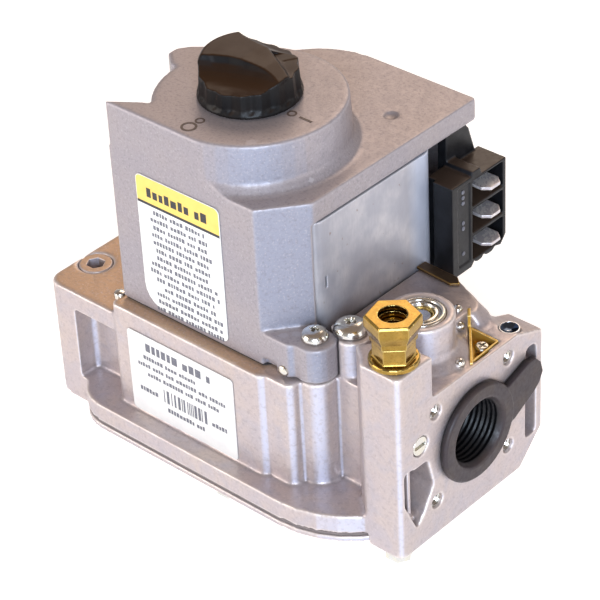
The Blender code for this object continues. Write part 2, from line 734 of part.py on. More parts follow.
def terminal_block():
    """Insulating block with three cells open towards +X and a scalloped underside."""
    y = BLOCK_Y
    profile = [(y[0], 40.2), (y[0] + 1.0, 38.9), (29.0, 38.9)]
    for centre, radius in ((32.0, 1.7), (36.0, 2.0)):
        for step in range(5):
            angle = math.pi - math.pi * step / 4
            profile.append((centre + radius * math.cos(angle), 39.4 - 0.9 * math.sin(angle) + 0.9))
    profile += [(40.4, 39.6), (y[1], 42.0), (y[1], BLOCK_TOP), (33.2, BLOCK_TOP)]
    profile += [(32.6, 65.6), (29.6, 65.6), (29.4, 64.5), (y[0], 64.5)]
    block = prism("terminal_block", profile, 19.9, BLOCK_FACE, turn=ALONG_X)
    upper = ((29.5, 62.0), (41.0, 62.0), (39.6, 66.4), (38.1, 71.0), (36.4, 73.0), (29.5, 73.0))
    shaped(block, "UNION", [prism("upper", upper, 17.8, 20.6, turn=ALONG_X)])
    cuts = [box("frame_room", (10.0, FRAME_X[1] + 0.3), (10.0, FRAME_Y[1] + GAP), (30.0, 80.0))]
    for index, level in enumerate(CELL_Z):
        cuts.append(box(f"cell_{index}", (22.6, 40.0), CELL_Y, level))
        slot_y = (31.0, 31.0 + BLADE_WIDTH + 0.5)
        slot_z = (BLADE_Z[index] - 0.6, BLADE_Z[index] + 0.6)
        cuts.append(box(f"slot_{index}", (10.0, 23.0), (slot_y[0] + 0.9, slot_y[1] + 0.9), slot_z))
    cuts.append(box("text_recess", (BLOCK_FACE - 0.35, 40.0), (24.2, 28.8), (41.0, 63.4)))
    shaped(block, "DIFFERENCE", cuts)
    return finish(settled(block), "moulding")


def terminal_blades():
    low = 32.15
    high = low + BLADE_WIDTH
    for index, level in enumerate(BLADE_Z):
        outline = (
            (17.0, low),
            (BLADE_TIP - 1.9, low),
            (BLADE_TIP, low + 1.5),
            (BLADE_TIP, high - 1.5),
            (BLADE_TIP - 1.9, high),
            (17.0, high),
        )
        half = BLADE_THICK / 2
        finish(prism(f"terminal_blade_{index + 1}", outline, level - half, level + half), "zinc")


def frame_stud():
    """Folded earth tab that stands out from under the terminal block."""
    outline = ((22.5, 15.6), (33.2, 14.9), (35.0, 16.4), (33.0, 18.2), (22.5, 18.6))
    return finish(prism("frame_stud", outline, 43.15, 43.9), "brass")


def pilot_fitting():
    at = (*FITTING, 0)
    profile = ((2.3, 44.0), (2.3, 51.45), (5.9, 51.45), (5.9, 52.5), (5.6, 52.9), (3.9, 52.9), (3.9, 61.0))
    tube = turned("pilot_fitting", profile, at)
    neck = turned("neck", ((5.3, 52.6), (4.95, 53.5), (4.95, 57.0)), at, sides=6, start=HEX_TURN)
    settled(shaped(tube, "UNION", [neck]))
    bore = ((1.6, 40.0), (1.6, 58.0), (FITTING_BORE_R, 58.5), (FITTING_BORE_R, 62.0))
    return finish(settled(shaped(tube, "DIFFERENCE", [turned("bore", bore, at, sides=16)])), "brass")


def pilot_nut():
    at = (*FITTING, 57.2)
    wide = NUT_HEX_R
    profile = ((5.4, 0.0), (5.5, 1.4), (wide - 0.2, 3.4), (wide, 4.0), (wide, 6.2), (wide - 0.4, 6.8))
    nut = turned("pilot_nut", profile, at, sides=6, start=HEX_TURN)
    bore = turned("bore", ((4.2, -1.0), (4.2, 5.6), (3.3, 5.9), (3.3, 8.0)), at)
    finish(settled(shaped(nut, "DIFFERENCE", [bore])), "brass")
    ring = ((3.2, 61.2), (3.9, 61.2), (3.9, 62.1), (3.2, 62.5))
    finish(turned("pilot_ferrule", ring, (*FITTING, 0), sides=20, closed=True), "brass")


def regulator():
    """Cap, screw, spring and small diaphragm that stack up in the tower's bore."""
    cap = turned("regulator_cap", ((5.9, 48.0), (5.9, 50.9), (5.4, 51.4)), (*TOWER, 0))
    recess = turned("recess", ((3.3, 49.2), (3.3, 53.0)), (*TOWER, 0), sides=6)
    finish(settled(shaped(cap, "DIFFERENCE", [recess])), "zinc")
    screw = turned("regulator_adjust_screw", ((5.2, 44.6), (5.2, 46.6), (4.8, 46.8)), (*TOWER, 0))
    slot = box("slot", (TOWER[0] - 3.5, TOWER[0] + 3.5), (TOWER[1] - 0.6, TOWER[1] + 0.6), (45.7, 50.0))
    finish(settled(shaped(screw, "DIFFERENCE", [slot])), "vinyl")
    coil_spring("regulator_spring", 3.8, 0.4, 37.7, 44.45, 4, (*TOWER, 0))
    finish(turned("regulator_diaphragm", ((5.8, 36.6), (5.8, 37.5)), (*TOWER, 0)), "rubber")


def pilot_adjuster():
    """The small adjusting screw and the folded guard round it."""
    spot = ADJUSTER
    screw = turned(
        "pilot_adjust_screw",
        ((1.1, 31.0), (1.1, 37.4), (1.8, 37.4), (1.8, 38.6), (1.4, 39.1)),
        (*spot, 0),
        sides=16,
    )
    finish(settled(shaped(screw, "DIFFERENCE", cross(spot, 1.2, 0.22, (38.4, 40.0)))), "zinc")
    middle = np.mean(POCKET, axis=0)
    outer = [tuple(middle + 0.945 * (np.array(corner) - middle)) for corner in POCKET]
    inner = [tuple(middle + 0.8 * (np.array(corner) - middle)) for corner in POCKET]
    guard = prism("pilot_guard", outer, POCKET_LOW + GAP, OUTLET_TOP + 0.1)
    hollow = prism("hollow", inner, POCKET_LOW + 1.0, 50.0)
    hole = turned("hole", ((1.4, 30.0), (1.4, 38.0)), (*spot, 0), sides=12)
    finish(settled(shaped(guard, "DIFFERENCE", [hollow, hole])), "brass")


def tap_plugs():
    """Threaded plugs in the pressure taps and the side passage."""
    outlet = turned("outlet_tap_plug", ((2.45, 34.5), (2.45, 39.3), (2.2, 39.6)), (51.4, 14.4, 0), sides=16)
    socket = turned("socket", ((1.2, 37.6), (1.2, 42.0)), (51.4, 14.4, 0), sides=6)
    finish(settled(shaped(outlet, "DIFFERENCE", [socket])), "steel")
    inlet = turned("inlet_tap_plug", ((4.25, 26.0), (4.25, 32.9), (4.0, 33.2)), (-51.6, -20.4, 0))
    socket = turned("socket", ((2.4, 30.0), (2.4, 36.0)), (-51.6, -20.4, 0), sides=6)
    finish(settled(shaped(inlet, "DIFFERENCE", [socket])), "steel")
    passage = rod("side_passage_plug", (-22.4, 28.8), 2.45, 48.0, 54.8, 16, ALONG_X)
    slot = prism("slot", box_outline((-24.2, -20.6), (28.4, 29.2)), 54.0, 58.0, turn=ALONG_X)
    finish(settled(shaped(passage, "DIFFERENCE", [slot])), "steel")


def main_valve():
    """Stem with its foot plate on the diaphragm, the rubber disc on the seat and the closing spring."""
    stem = ((11.0, 2.45), (11.0, 3.4), (STEM_R, 3.8), (STEM_R, 26.0), (1.2, 26.4))
    finish(turned("main_valve_stem", stem, sides=24), "steel")
    disc = ((STEM_R + 0.05, 21.35), (9.0, 21.35), (9.0, 23.2), (STEM_R + 0.05, 23.2))
    finish(turned("main_valve_disc", disc, closed=True), "rubber")
    coil_spring("main_spring", 5.0, 0.45, 23.35, 29.45, 3, (0.0, 0.0, 0.0))


def inlet_screen():
    """Cup strainer in the inlet bore: a rim with crossed bars."""
    inner = INLET_BORE_R - 1.3
    outer = INLET_BORE_R - GAP
    ring = ((inner, 0.0), (outer, 0.0), (outer, 5.0), (inner, 5.0))
    at = (-48.0, PORT_Y, PORT_Z)
    screen = turned("inlet_screen", ring, at, ALONG_X, closed=True)
    bars = []
    reach = INLET_BORE_R - 0.7
    for index in range(-1, 2):
        offset = 4.0 * index
        half = math.sqrt(reach**2 - offset**2)
        bars.append(
            box(
                f"bar_up_{index + 1}",
                (-46.2, -45.4),
                (PORT_Y + offset - 0.35, PORT_Y + offset + 0.35),
                (PORT_Z - half, PORT_Z + half),
            )
        )
        bars.append(
            box(
                f"bar_across_{index + 1}",
                (-45.9, -45.1),
                (PORT_Y - half, PORT_Y + half),
                (PORT_Z + offset - 0.35, PORT_Z + offset + 0.35),
            )
        )
    return finish(settled(shaped(screen, "UNION", bars)), "steel")


def outlet_dust_plug():
    """Push-in shipping plug: ribbed cup in the port, ring on the face and a pull tab."""
    length = PLUG_X[0] - 43.0
    profile = [(0.4, -length), (8.9, -length), (8.9, 0.0)]
    profile += [(12.7, 0.0), (12.7, 1.5), (12.3, 1.9), (8.6, 1.9)]
    ribs = 5
    for rib in range(ribs):
        level = 0.6 - (length - 2.4) * rib / ribs
        profile.append((8.4, level))
        profile.append((8.0, level - 0.5))
        profile.append((8.4, level - 1.0))
    profile += [(8.2, -length + 1.2), (0.4, -length + 1.2)]
    plug = turned("outlet_dust_plug", profile, (PLUG_X[0], PORT_Y, PORT_Z), ALONG_X, sides=32, closed=True)
    hole = rod("centre", (PORT_Y, PORT_Z), 0.8, 42.0, 45.0, 12, ALONG_X)
    tab = rounded(
        (
            (5.6, 29.6, 0),
            (5.6, 18.0, 0),
            (9.2, 18.6, 0),
            (18.4, 23.6, 3.0),
            (20.2, 28.0, 3.0),
            (17.2, 32.0, 3.0),
            (7.2, 29.4, 0),
        )
    )
    shaped(plug, "UNION", [prism("tab", tab, PLUG_X[0], PLUG_X[1] - 0.1, turn=ALONG_X)])
    shaped(plug, "DIFFERENCE", [hole])
    return finish(settled(plug), "vinyl")


def labels():
    """Printed plates on the housing's front and on the body's front pad."""
    upper = box_outline((-23.0, 3.5), (39.0, 75.8), (6.0, 1.5, 1.5, 1.5))
    finish(prism("front_label", upper, 0.1, 0.3, (0.0, HOUSING_Y[0], 0.0), FACING_FRONT), "label")
    lower = box_outline((-27.3, 7.5), (8.2, 31.9), (1.0, 1.0, 1.0, 1.0))
    finish(prism("lower_label", lower, 0.1, 0.3, (0.0, -33.6, 0.0), FACING_FRONT), "label")


def build():
    clear_scene()
    valve_body()
    bottom_cover()
    main_diaphragm()
    cover_screws()
    top_housing()
    housing_gasket()
    dome_screw("housing_screw", FOOT_SCREW, FOOT_TOP, 3.3, 2.6, 25.0)
    dome_screw("body_screw", BODY_SCREW, BODY_SCREW_SEAT, 4.1, 2.9, 31.0)
    solenoid_frame()
    for index, spot in enumerate(COILS):
        coil(index, spot)
    knob()
    shutoff_parts()
    terminal_block()
    terminal_blades()
    frame_stud()
    pilot_fitting()
    pilot_nut()
    regulator()
    pilot_adjuster()
    tap_plugs()
    main_valve()
    inlet_screen()
    outlet_dust_plug()
    labels()


build()
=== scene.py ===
"""Looks of the gas control valve: castings, finished fittings, printed labels, materials and studio.

Lengths are in millimetres, and turned to metres where vertices are made.
Places come from the boxes of the nodes, or else are in the object's own frame.
"""

import json
import math
import random

import bmesh
import bpy
from mathutils import Matrix, Vector


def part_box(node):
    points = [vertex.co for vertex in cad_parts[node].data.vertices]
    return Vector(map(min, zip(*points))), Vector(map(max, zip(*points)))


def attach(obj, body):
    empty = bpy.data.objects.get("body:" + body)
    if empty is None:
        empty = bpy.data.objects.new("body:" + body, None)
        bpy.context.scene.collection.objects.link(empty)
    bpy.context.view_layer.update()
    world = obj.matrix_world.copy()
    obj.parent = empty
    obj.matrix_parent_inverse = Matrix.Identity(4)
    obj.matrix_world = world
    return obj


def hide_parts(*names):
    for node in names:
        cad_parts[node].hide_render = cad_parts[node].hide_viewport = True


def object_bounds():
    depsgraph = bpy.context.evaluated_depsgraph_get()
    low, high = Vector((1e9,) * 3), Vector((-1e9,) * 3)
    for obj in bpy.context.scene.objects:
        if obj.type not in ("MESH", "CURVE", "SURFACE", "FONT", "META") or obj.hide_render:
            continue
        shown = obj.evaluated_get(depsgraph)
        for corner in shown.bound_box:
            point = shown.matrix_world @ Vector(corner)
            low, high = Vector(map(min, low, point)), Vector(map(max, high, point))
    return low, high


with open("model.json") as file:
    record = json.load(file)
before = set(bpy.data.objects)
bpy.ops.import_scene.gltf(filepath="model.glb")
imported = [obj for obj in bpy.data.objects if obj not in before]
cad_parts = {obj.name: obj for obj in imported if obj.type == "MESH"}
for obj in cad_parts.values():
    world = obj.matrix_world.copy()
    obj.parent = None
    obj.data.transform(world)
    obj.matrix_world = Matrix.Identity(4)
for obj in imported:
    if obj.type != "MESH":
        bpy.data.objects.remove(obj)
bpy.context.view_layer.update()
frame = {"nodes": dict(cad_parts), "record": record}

MM = 0.001
WELD = 0.002
BURIED = 0.02
PRINT = (-0.03, 0.02)
RECORD = frame["record"]
BODY_OF = {node: body for body, nodes in RECORD["behaviour"]["bodies"].items() for node in nodes}
SLOT_OF = {part["node"]: part["material_slot"] for part in RECORD["subparts"]}
UPRIGHT = Matrix.Identity(4)
ALONG_X = Matrix.Rotation(math.pi / 2, 4, "Z") @ Matrix.Rotation(math.pi / 2, 4, "X")
FACING_FRONT = Matrix.Rotation(math.pi / 2, 4, "X")


def low(node):
    return Vector(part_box(node)[0]) / MM


def high(node):
    return Vector(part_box(node)[1]) / MM


def middle(node):
    return (low(node) + high(node)) / 2


# Meshes


def welded(node):
    """A node's own shape with the corners that its faces share joined."""
    shape = bmesh.new()
    shape.from_mesh(frame["nodes"][node].data)
    bmesh.ops.remove_doubles(shape, verts=shape.verts, dist=WELD * MM)
    return shape


def add_loft(shape, rows, place=UPRIGHT, closed=False):
    """Adds a closed skin through rows of equally many points, given in millimetres."""
    count = len(rows[0])
    verts = [[shape.verts.new(place @ Vector(point) * MM) for point in row] for row in rows]
    faces = []
    for index in range(len(rows) - (0 if closed else 1)):
        here = verts[index]
        above = verts[(index + 1) % len(rows)]
        for i in range(count):
            j = (i + 1) % count
            faces.append(shape.faces.new((here[i], here[j], above[j], above[i])))
    if not closed:
        faces.append(shape.faces.new(verts[0][::-1]))
        faces.append(shape.faces.new(verts[-1]))
    bmesh.ops.recalc_face_normals(shape, faces=faces)


def add_prism(shape, outline, bottom, top, place=UPRIGHT):
    add_loft(shape, [[(x, y, level) for x, y in outline] for level in (bottom, top)], place)


def add_box(shape, x, y, z):
    outline = [(x[0], y[0]), (x[1], y[0]), (x[1], y[1]), (x[0], y[1])]
    add_prism(shape, outline, z[0], z[1])


def add_turned(shape, profile, place=UPRIGHT, sides=64, closed=False):
    """Adds a body of revolution about the place's Z, from (radius, height) pairs."""
    rows = []
    for radius, level in profile:
        angles = [2 * math.pi * side / sides for side in range(sides)]
        rows.append([(radius * math.cos(a), radius * math.sin(a), level) for a in angles])
    add_loft(shape, rows, place, closed)


def at(x, y, z=0.0, turn=UPRIGHT):
    return Matrix.Translation((x, y, z)) @ turn


def new_piece(name, shape, material):
    mesh = bpy.data.meshes.new(name)
    shape.to_mesh(mesh)
    shape.free()
    mesh.materials.append(material)
    piece = bpy.data.objects.new(name, mesh)
    bpy.context.scene.collection.objects.link(piece)
    return piece


def applied(piece):
    """Keeps the result of the modifiers as the piece's own mesh."""
    graph = bpy.context.evaluated_depsgraph_get()
    mesh = bpy.data.meshes.new_from_object(piece.evaluated_get(graph))
    piece.modifiers.clear()
    piece.data = mesh
    return piece


def cut(piece, shape):
    """Takes the shape out of the piece."""
    tool = new_piece("cutter", shape, piece.data.materials[0])
    step = piece.modifiers.new("cut", "BOOLEAN")
    step.object = tool
    applied(piece)
    bpy.data.objects.remove(tool, do_unlink=True)
    return piece


def softened(piece, voxel, passes, share=1.0):
    """Evens the mesh out in small cells and rounds its edges, as casting or moulding does."""
    remesh = piece.modifiers.new("cells", "REMESH")
    remesh.mode = "VOXEL"
    remesh.voxel_size = voxel * MM
    smooth = piece.modifiers.new("rounding", "SMOOTH")
    smooth.factor = 0.5
    smooth.iterations = passes
    if share < 1.0:
        fewer = piece.modifiers.new("fewer", "DECIMATE")
        fewer.ratio = share
    applied(piece)
    for face in piece.data.polygons:
        face.use_smooth = True
    return piece


def smooth_shaded(piece, angle=35):
    for face in piece.data.polygons:
        face.use_smooth = True
    piece.data.set_sharp_from_angle(angle=math.radians(angle))
    return piece


def stands_for(piece, node):
    """The piece takes the node's place, on the same body."""
    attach(piece, BODY_OF[node])
    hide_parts(node)
    return piece


def detail(piece, body, slot):
    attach(piece, body)
    return piece


def refined(node, material, voxel, passes, share=1.0):
    """A node's own shape with softened edges."""
    piece = new_piece(f"fine_{node}", welded(node), material)
    return stands_for(softened(piece, voxel, passes, share), node)


# Materials


def linear(*channels):
    """Turns display colour channels from 0 to 255 into the shader's linear ones."""
    shares = [channel / 255 for channel in channels]
    return [s / 12.92 if s <= 0.04045 else ((s + 0.055) / 1.055) ** 2.4 for s in shares]


class Surface:
    """A Principled material with noise in its colour, roughness and bump."""

    def __init__(self, name, colour, metallic=0.0, rough=0.5):
        self.material = bpy.data.materials.new(name)
        self.material.use_nodes = True
        self.tree = self.material.node_tree
        self.shader = self.tree.nodes["Principled BSDF"]
        self.shader.inputs["Base Color"].default_value = (*colour, 1.0)
        self.shader.inputs["Metallic"].default_value = metallic
        self.shader.inputs["Roughness"].default_value = rough
        self.coords = self.tree.nodes.new("ShaderNodeTexCoord").outputs["Object"]
        rgb = self.tree.nodes.new("ShaderNodeRGB")
        rgb.outputs[0].default_value = (*colour, 1.0)
        self.colour = rgb.outputs[0]
        self.rough = None
        self.height = None

    def node(self, kind, **settings):
        made = self.tree.nodes.new(kind)
        for key, value in settings.items():
            setattr(made, key, value)
        return made

    def feed(self, socket, value):
        if hasattr(value, "is_output"):
            self.tree.links.new(value, socket)
        elif isinstance(value, (list, tuple)):
            socket.default_value = (*value, 1.0) if len(socket.default_value) == 4 else value
        else:
            socket.default_value = value

    def noise(self, size, detail=3.0, stretch=(1.0, 1.0, 1.0), distortion=0.0):
        """Noise whose grains are about size millimetres across, in a 0 to 1 range."""
        mapping = self.node("ShaderNodeMapping")
        self.feed(mapping.inputs["Vector"], self.coords)
        mapping.inputs["Scale"].default_value = stretch
        noise = self.node("ShaderNodeTexNoise")
        self.feed(noise.inputs["Vector"], mapping.outputs[0])
        noise.inputs["Scale"].default_value = 1.0 / (size * MM)
        noise.inputs["Detail"].default_value = detail
        noise.inputs["Distortion"].default_value = distortion
        return noise.outputs["Fac"]

    def ranged(self, value, start, end, to_start=0.0, to_end=1.0):
        node = self.node("ShaderNodeMapRange")
        self.feed(node.inputs["Value"], value)
        node.inputs["From Min"].default_value = start
        node.inputs["From Max"].default_value = end
        node.inputs["To Min"].default_value = to_start
        node.inputs["To Max"].default_value = to_end
        return node.outputs[0]

    def maths(self, operation, first, second=0.0):
        node = self.node("ShaderNodeMath", operation=operation)
        self.feed(node.inputs[0], first)
        self.feed(node.inputs[1], second)
        return node.outputs[0]

    def tint(self, amount, colour):
        """Mixes the colour in by the amount, a socket or a number."""
        mix = self.node("ShaderNodeMix", data_type="RGBA")
        self.feed(mix.inputs[0], amount)
        self.feed(mix.inputs[6], self.colour)
        self.feed(mix.inputs[7], colour)
        self.colour = mix.outputs[2]
        return self

    def speckle(self, size, colour, start=0.45, end=0.7, strength=1.0, **noise):
        return self.tint(self.ranged(self.noise(size, **noise), start, end, 0.0, strength), colour)

    def rougher(self, size, least, most, **noise):
        self.rough = self.ranged(self.noise(size, **noise), 0.3, 0.7, least, most)
        return self

    def edge(self, colour, start=0.51, end=0.56, strength=0.8):
        """Painted highlight along outward edges."""
        geometry = self.node("ShaderNodeNewGeometry")
        return self.tint(self.ranged(geometry.outputs["Pointiness"], start, end, 0.0, strength), colour)

    def hollow(self, colour, start=0.49, end=0.44, strength=0.8):
        """Painted shade that darkens inward corners."""
        geometry = self.node("ShaderNodeNewGeometry")
        return self.tint(self.ranged(geometry.outputs["Pointiness"], start, end, 0.0, strength), colour)

    def turned_to(self, way, start, end, strength=1.0):
        """How far a face looks a given way, by the cosine of the angle between them."""
        geometry = self.node("ShaderNodeNewGeometry")
        dot = self.node("ShaderNodeVectorMath", operation="DOT_PRODUCT")
        self.feed(dot.inputs[0], geometry.outputs["Normal"])
        dot.inputs[1].default_value = Vector(way).normalized()
        return self.ranged(dot.outputs["Value"], start, end, 0.0, strength)

    def along(self, axis, start, end, strength=1.0):
        """How far a point is from start to end millimetres along an axis of the object."""
        apart = self.node("ShaderNodeSeparateXYZ")
        self.feed(apart.inputs[0], self.coords)
        return self.ranged(apart.outputs[axis], start * MM, end * MM, 0.0, strength)

    # Tints faces that look a given way; every use here paints light, shade or a reflection by
    # direction.
    def facing(self, way, colour, start, end, strength):
        return self.tint(self.turned_to(way, start, end, strength), colour)

    def band(self, axis, colour, start, end, strength):
        return self.tint(self.along(axis, start, end, strength), colour)

    def bump(self, size, depth, **noise):
        grain = self.noise(size, **noise)
        node = self.node("ShaderNodeBump")
        self.feed(node.inputs["Height"], grain)
        node.inputs["Distance"].default_value = depth * MM
        if self.height is not None:
            self.feed(node.inputs["Normal"], self.height)
        self.height = node.outputs[0]
        return self

    def shine(self, level):
        self.shader.inputs["Specular IOR Level"].default_value = level
        return self

    def done(self):
        self.feed(self.shader.inputs["Base Color"], self.colour)
        if self.rough is not None:
            self.feed(self.shader.inputs["Roughness"], self.rough)
        if self.height is not None:
            self.feed(self.shader.inputs["Normal"], self.height)
        return self.material


def cast_metal():
    """Die-cast aluminium alloy: warm grey skin with fine grain and cloudy flow marks, painted warm
    light on upper left ledges, a painted pale blue reflection on faces turned to the front right,
    painted shade in hollows and painted highlights on edges.
    """
    skin = Surface("cast_aluminium", linear(188, 176, 175), metallic=0.6, rough=0.45)
    skin.speckle(11.0, linear(198, 182, 170), 0.4, 0.75, 0.6, detail=4.0)
    skin.speckle(6.0, linear(168, 166, 178), 0.45, 0.75, 0.5, detail=4.0, distortion=1.0)
    # Painted warm light: upward faces towards the left and above about 20 to 30 mm are tinted
    # gold-brown, as a warm lamp from the left rear would light them.
    level = skin.turned_to((0, 0, 1), 0.85, 1.0, 0.7)
    left = skin.maths("MULTIPLY", level, skin.along("X", 21.0, 14.0))
    painted_warm_light = skin.maths("MULTIPLY", left, skin.along("Z", 20.0, 30.0))
    skin.tint(painted_warm_light, linear(206, 166, 122))
    # Painted reflection: faces turned to the front right are tinted pale blue, as the bluish light from
    # the camera side would show on them.
    skin.facing((1, -1, 0), linear(206, 214, 238), 0.9, 0.99, 0.55)
    skin.speckle(0.9, linear(146, 134, 136), 0.5, 0.8, 0.5, detail=5.0)
    skin.speckle(0.5, linear(218, 208, 206), 0.55, 0.8, 0.5, detail=3.0)
    skin.hollow(linear(108, 100, 104), strength=0.55)
    skin.edge(linear(246, 236, 228), strength=0.75)
    skin.rougher(3.0, 0.3, 0.5, detail=4.0)
    skin.bump(0.55, 0.05, detail=4.0)
    skin.bump(4.0, 0.1, detail=2.0)
    return skin.done()


def painted_metal():
    """Grey satin paint over a casting, with a fine metallic speckle."""
    paint = Surface("grey_paint", linear(152, 145, 149), metallic=0.35, rough=0.45)
    paint.speckle(12.0, linear(160, 150, 149), 0.4, 0.7, 0.7, detail=3.0)
    # Painted reflection: faces turned to the front right are tinted blue-grey.
    paint.facing((1, -1, 0), linear(138, 146, 166), 0.85, 0.99, 0.6)
    # Painted light: upward faces are made lighter and warmer.
    paint.facing((0, 0, 1), linear(186, 172, 168), 0.8, 1.0, 0.55)
    paint.speckle(0.7, linear(120, 115, 120), 0.5, 0.75, 0.5, detail=4.0)
    paint.speckle(0.45, linear(186, 180, 184), 0.56, 0.78, 0.55, detail=3.0)
    paint.hollow(linear(118, 112, 118), strength=0.25)
    paint.edge(linear(186, 180, 184), strength=0.6)
    paint.rougher(1.2, 0.36, 0.52, detail=3.0)
    paint.bump(0.5, 0.035, detail=3.0)
    return paint.done()


def sheet_steel():
    """Bare mild steel with a drawn grain and small rust spots."""
    steel = Surface("sheet_steel", linear(164, 163, 170), metallic=0.4, rough=0.46)
    steel.speckle(7.0, linear(200, 196, 196), 0.4, 0.7, 0.7, detail=3.0)
    steel.speckle(0.6, linear(160, 158, 164), 0.45, 0.75, 0.5, detail=4.0, stretch=(1.0, 1.0, 0.25))
    steel.speckle(1.8, linear(132, 108, 88), 0.68, 0.73, 0.6, detail=6.0)
    steel.band("Y", linear(188, 200, 222), 13.0, 17.0, 0.55)
    steel.edge(linear(226, 224, 228), strength=0.6)
    steel.rougher(1.6, 0.3, 0.5, detail=3.0, stretch=(1.0, 1.0, 0.3))
    steel.bump(0.4, 0.012, detail=3.0, stretch=(1.0, 1.0, 0.3))
    return steel.done()


def zinc_plate():
    zinc = Surface("zinc_steel", linear(214, 213, 208), metallic=1.0, rough=0.2)
    zinc.speckle(2.0, linear(230, 222, 190), 0.45, 0.75, 0.5, detail=2.0)
    zinc.speckle(0.5, linear(188, 190, 196), 0.5, 0.8, 0.25)
    zinc.hollow(linear(84, 80, 78), strength=0.6)
    zinc.rougher(1.5, 0.14, 0.24, detail=2.0)
    zinc.bump(0.6, 0.004, detail=2.0)
    return zinc.done()


def brass_metal():
    brass = Surface("brass", linear(154, 126, 62), metallic=1.0, rough=0.2)
    brass.speckle(2.5, linear(186, 150, 76), 0.4, 0.7, 0.6, detail=3.0)
    brass.speckle(0.5, linear(134, 92, 32), 0.5, 0.75, 0.5, detail=4.0)
    brass.hollow(linear(118, 72, 18), strength=0.75)
    brass.edge(linear(252, 234, 160), strength=0.6)
    brass.rougher(0.8, 0.12, 0.28, stretch=(0.3, 0.3, 1.5))
    brass.bump(0.35, 0.006, stretch=(0.25, 0.25, 1.6))
    return brass.done()


def bright_brass():
    """The guard's thin bright sheet brass."""
    brass = Surface("sheet_brass", linear(214, 176, 84), metallic=0.6, rough=0.34)
    brass.speckle(1.5, linear(196, 150, 54), 0.4, 0.7, 0.7, detail=3.0)
    brass.edge(linear(255, 240, 180), strength=0.8)
    brass.rougher(0.8, 0.28, 0.4)
    brass.bump(0.35, 0.006)
    return brass.done()


def aged_brass():
    """Browned brass with a painted golden highlight on its edges."""
    brass = Surface("aged_brass", linear(104, 84, 64), metallic=0.8, rough=0.4)
    brass.speckle(1.5, linear(84, 66, 50), 0.4, 0.7, 0.7, detail=3.0)
    brass.edge(linear(196, 150, 60), strength=0.7)
    brass.rougher(0.8, 0.34, 0.48)
    brass.bump(0.35, 0.006)
    return brass.done()


def black_knob():
    black = Surface("knob_black", linear(12, 12, 14), metallic=0.0, rough=0.24)
    black.shine(0.2)
    black.speckle(6.0, linear(26, 21, 19), 0.4, 0.7, 0.8)
    # Painted reflection: upward faces are tinted warm brown, like the dim warm room they would reflect.
    black.facing((0, 0, 1), linear(54, 34, 18), 0.5, 0.98, 0.95)
    black.edge(linear(64, 50, 42), start=0.52, end=0.6, strength=0.4)
    black.rougher(4.0, 0.3, 0.42, detail=2.0)
    black.bump(1.5, 0.004, detail=1.0)
    return black.done()


def black_moulding():
    black = Surface("black_moulding", linear(14, 15, 18), rough=0.36)
    black.shine(0.32)
    black.speckle(3.0, linear(26, 27, 31), 0.4, 0.7, 0.8)
    # Painted reflection: upward faces are tinted warm brown, like the dim warm room they would reflect.
    black.facing((0, 0, 1), linear(66, 52, 42), 0.5, 0.95, 0.8)
    black.edge(linear(74, 72, 76), start=0.54, end=0.62, strength=0.4)
    black.rougher(1.0, 0.3, 0.46)
    black.bump(0.6, 0.01)
    return black.done()


def tin_plate():
    """Matte tin on the spade blades, with painted highlights on its edges."""
    tin = Surface("tin_plate", linear(204, 199, 203), metallic=0.6, rough=0.42)
    tin.speckle(1.4, linear(220, 212, 208), 0.45, 0.75, 0.6, detail=3.0)
    tin.speckle(0.5, linear(176, 172, 178), 0.5, 0.8, 0.4, detail=3.0)
    tin.edge(linear(246, 242, 238), strength=0.7)
    tin.rougher(1.0, 0.34, 0.48)
    tin.bump(0.4, 0.006)
    return tin.done()


def blued_steel():
    """Dark blued steel, polished by turning."""
    steel = Surface("blued_steel", linear(84, 98, 118), metallic=1.0, rough=0.14)
    steel.speckle(1.2, linear(64, 76, 98), 0.4, 0.7, 0.6)
    steel.edge(linear(226, 228, 232), strength=0.8)
    steel.rougher(0.8, 0.1, 0.2)
    steel.bump(0.4, 0.003)
    return steel.done()


def vinyl():
    soft = Surface("vinyl_cap", linear(56, 48, 51), rough=0.58)
    soft.shine(0.3)
    soft.speckle(4.0, linear(68, 57, 52), 0.4, 0.7, 0.8)
    soft.speckle(0.7, linear(42, 37, 40), 0.5, 0.75, 0.5)
    soft.hollow(linear(22, 20, 24), 0.495, 0.46, strength=0.9)
    # Painted shade: the plug is darkened to near black from about one and a half millimetres behind its
    # front face, chiefly the inside of the cup.
    soft.band("X", linear(8, 9, 12), 56.7, 55.6, 0.95)
    soft.rougher(1.0, 0.3, 0.56)
    soft.bump(0.6, 0.02)
    return soft.done()


def rubber():
    soft = Surface("rubber_black", linear(40, 38, 40), rough=0.75)
    soft.speckle(0.8, linear(58, 54, 54), 0.45, 0.75, 0.6)
    soft.bump(0.5, 0.02)
    return soft.done()


def copper_wire():
    wire = Surface("copper_wire", linear(176, 96, 52), metallic=0.9, rough=0.3)
    wire.speckle(0.9, linear(128, 62, 34), 0.4, 0.7, 0.8, stretch=(0.3, 0.3, 6.0))
    wire.bump(0.4, 0.08, stretch=(0.05, 0.05, 2.0))
    return wire.done()


def film(name, colour, tone):
    """Printed label stock, slightly mottled and satin."""
    sheet = Surface(name, colour, rough=0.45)
    sheet.speckle(3.0, tone, 0.4, 0.75, 0.6)
    sheet.rougher(2.0, 0.36, 0.52)
    sheet.bump(1.2, 0.01)
    return sheet.done()


def printing(name, colour):
    ink = Surface(name, colour, rough=0.5)
    ink.speckle(0.5, [min(1.0, 2.2 * channel + 0.02) for channel in colour], 0.5, 0.8, 0.6)
    ink.bump(0.4, 0.004)
    return ink.done()


